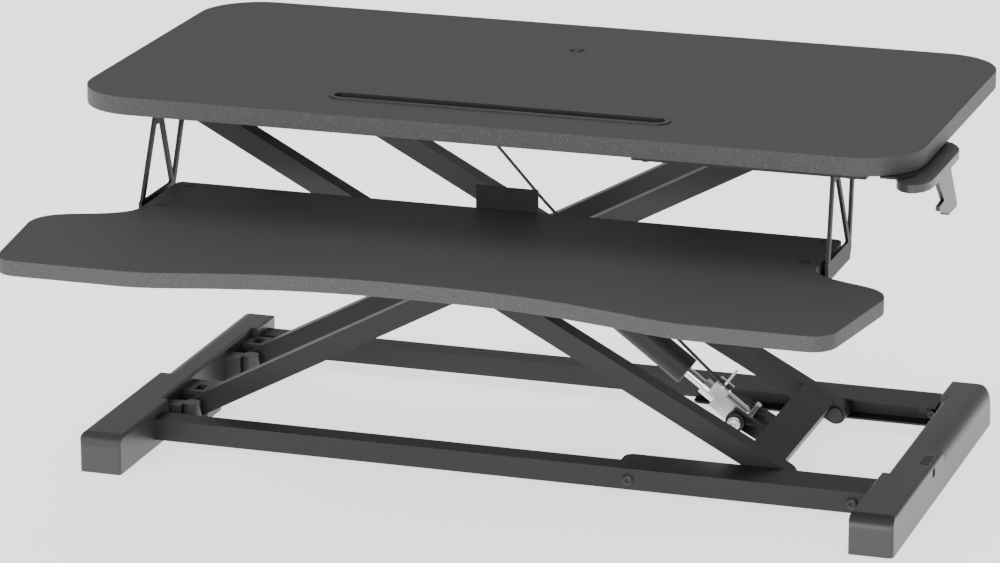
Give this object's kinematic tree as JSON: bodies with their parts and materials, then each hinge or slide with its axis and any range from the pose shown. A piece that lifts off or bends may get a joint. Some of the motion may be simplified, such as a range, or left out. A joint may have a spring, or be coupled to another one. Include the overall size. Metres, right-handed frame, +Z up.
{
  "type": "standing desk converter",
  "caption": "Height-adjustable desk riser: a rounded worktop with a tablet groove and a lower keyboard tray on an X-shaped lift with a gas spring and a squeeze lever.",
  "frame": {"origin": "on the ground, at the middle of the whole object's footprint", "axes": "+X to the user's right along the worktop, +Y away from the user, +Z up"},
  "size_m": [0.816, 0.626, 0.369],
  "materials": {
    "laminate_board": "matt",
    "black_steel": "satin powder coat",
    "grey_plastic": "satin",
    "black_plastic": "satin",
    "black_rubber": "matt",
    "zinc_steel": "zinc plated",
    "nylon": "matt",
    "gas_black": "semi gloss"
  },
  "bodies": {
    "base": {"left_foot_cover": "grey_plastic", "right_foot_cover": "grey_plastic", "left_foot_bar": "black_steel", "right_foot_bar": "black_steel", "rubber_feet": "black_rubber", "front_rail": "black_steel", "rear_rail": "black_steel", "front_base_track": "black_steel", "rear_base_track": "black_steel", "track_bolts": "black_steel", "track_stop_screws": "black_steel", "base_pivot_lugs": "black_steel", "base_pivot_pins": "black_steel", "pivot_housing_front": "grey_plastic", "pivot_housing_rear": "grey_plastic"},
    "inner_frame": {"inner_arm_front": "black_steel", "inner_arm_rear": "black_steel", "inner_upper_crossbar": "black_steel", "gas_anchor_bar": "black_steel", "gas_upper_pin": "zinc_steel", "top_roller_axles": "black_steel"},
    "outer_frame": {"outer_arm_front": "black_steel", "outer_arm_rear": "black_steel", "outer_cross_plate": "black_steel", "outer_upper_crossbar": "black_steel", "gas_foot_bracket": "black_steel", "gas_lower_bolt": "zinc_steel", "base_roller_axles": "black_steel", "centre_pivot_bolts": "black_steel", "centre_pivot_bushes": "nylon"},
    "base_wheel_front": {"base_roller_front": "black_plastic"},
    "base_wheel_rear": {"base_roller_rear": "black_plastic"},
    "top_wheel_front": {"top_roller_front": "black_plastic"},
    "top_wheel_rear": {"top_roller_rear": "black_plastic"},
    "platform": {"top_board": "laminate_board", "tablet_slot": "black_plastic", "cable_hole_cap": "black_plastic", "top_pivot_brackets": "black_steel", "top_pivot_pins": "black_steel", "top_track_front": "black_steel", "top_track_rear": "black_steel", "top_frame_plate": "black_steel", "frame_screws": "black_steel", "keyboard_tray": "laminate_board", "tray_hanger_left": "black_steel", "tray_hanger_right": "black_steel", "tray_screw_caps": "black_plastic", "tray_stop_plate": "black_steel", "handle_plate": "black_steel", "handle_grip": "grey_plastic", "lever_pin": "zinc_steel", "lever_spring": "zinc_steel", "release_cable": "black_plastic", "cable_clips": "black_plastic"},
    "lever": {"release_lever": "black_plastic"},
    "gas_tube": {"gas_cylinder": "gas_black"},
    "gas_piston": {"gas_rod": "zinc_steel", "gas_head": "zinc_steel"},
    "gas_valve": {"gas_trigger": "zinc_steel"}
  },
  "joints": [
    {"name": "lift", "type": "hinge", "parent": "base", "child": "inner_frame", "pos_m": [-0.351, 0.141, 0.01875], "axis": [0, -1, 0], "range_deg": [-17.93, 13.67]},
    {"name": "centre_pivot", "type": "hinge", "parent": "inner_frame", "child": "outer_frame", "pos_m": [-0.0515, 0.141, 0.17875], "axis": [0, -1, 0], "range_deg": [-27.49, 36.01]},
    {"name": "top_pivot", "type": "hinge", "parent": "outer_frame", "child": "platform", "pos_m": [-0.351, 0.141, 0.33875], "axis": [0, -1, 0], "range_deg": [-18.08, 13.82], "deforming": ["release_cable"]},
    {"name": "gas_upper_pivot", "type": "hinge", "parent": "inner_frame", "child": "gas_tube", "pos_m": [-0.058, 0.141, 0.2128], "axis": [0, -1, 0], "range_deg": [-25.39, 33.25]},
    {"name": "gas_lower_pivot", "type": "hinge", "parent": "outer_frame", "child": "gas_piston", "pos_m": [0.1775, 0.141, 0.0385], "axis": [0, -1, 0], "range_deg": [-2.91, 2.25]},
    {"name": "base_front_roller_spin", "type": "hinge", "parent": "outer_frame", "child": "base_wheel_front", "pos_m": [0.248, 0.0202, 0.01875], "axis": [0, -1, 0], "continuous": true},
    {"name": "base_rear_roller_spin", "type": "hinge", "parent": "outer_frame", "child": "base_wheel_rear", "pos_m": [0.248, 0.2618, 0.01875], "axis": [0, -1, 0], "continuous": true},
    {"name": "top_front_roller_spin", "type": "hinge", "parent": "inner_frame", "child": "top_wheel_front", "pos_m": [0.248, 0.0417, 0.33875], "axis": [0, -1, 0], "continuous": true},
    {"name": "top_rear_roller_spin", "type": "hinge", "parent": "inner_frame", "child": "top_wheel_rear", "pos_m": [0.248, 0.2403, 0.33875], "axis": [0, -1, 0], "continuous": true},
    {"name": "lever_squeeze", "type": "hinge", "parent": "platform", "child": "lever", "pos_m": [0.4, -0.01, 0.3425], "axis": [0, 1, 0], "range_deg": [0, 24], "stiffness_Nm_per_rad": 0.6},
    {"name": "valve_trigger", "type": "hinge", "parent": "gas_piston", "child": "gas_valve", "pos_m": [0.15815, 0.141, 0.06278], "axis": [0, 1, 0], "range_deg": [0, 12.5], "stiffness_Nm_per_rad": 0.3}
  ],
  "couplings": [
    {"joint": "centre_pivot", "follows": "lift", "ratio": -2},
    {"joint": "top_pivot", "follows": "lift", "ratio": 1},
    {"joint": "gas_upper_pivot", "follows": "lift", "ratio": -1.8461},
    {"joint": "gas_lower_pivot", "follows": "lift", "ratio": 0.1539},
    {"joint": "valve_trigger", "follows": "lever_squeeze", "ratio": 0.5}
  ]
}
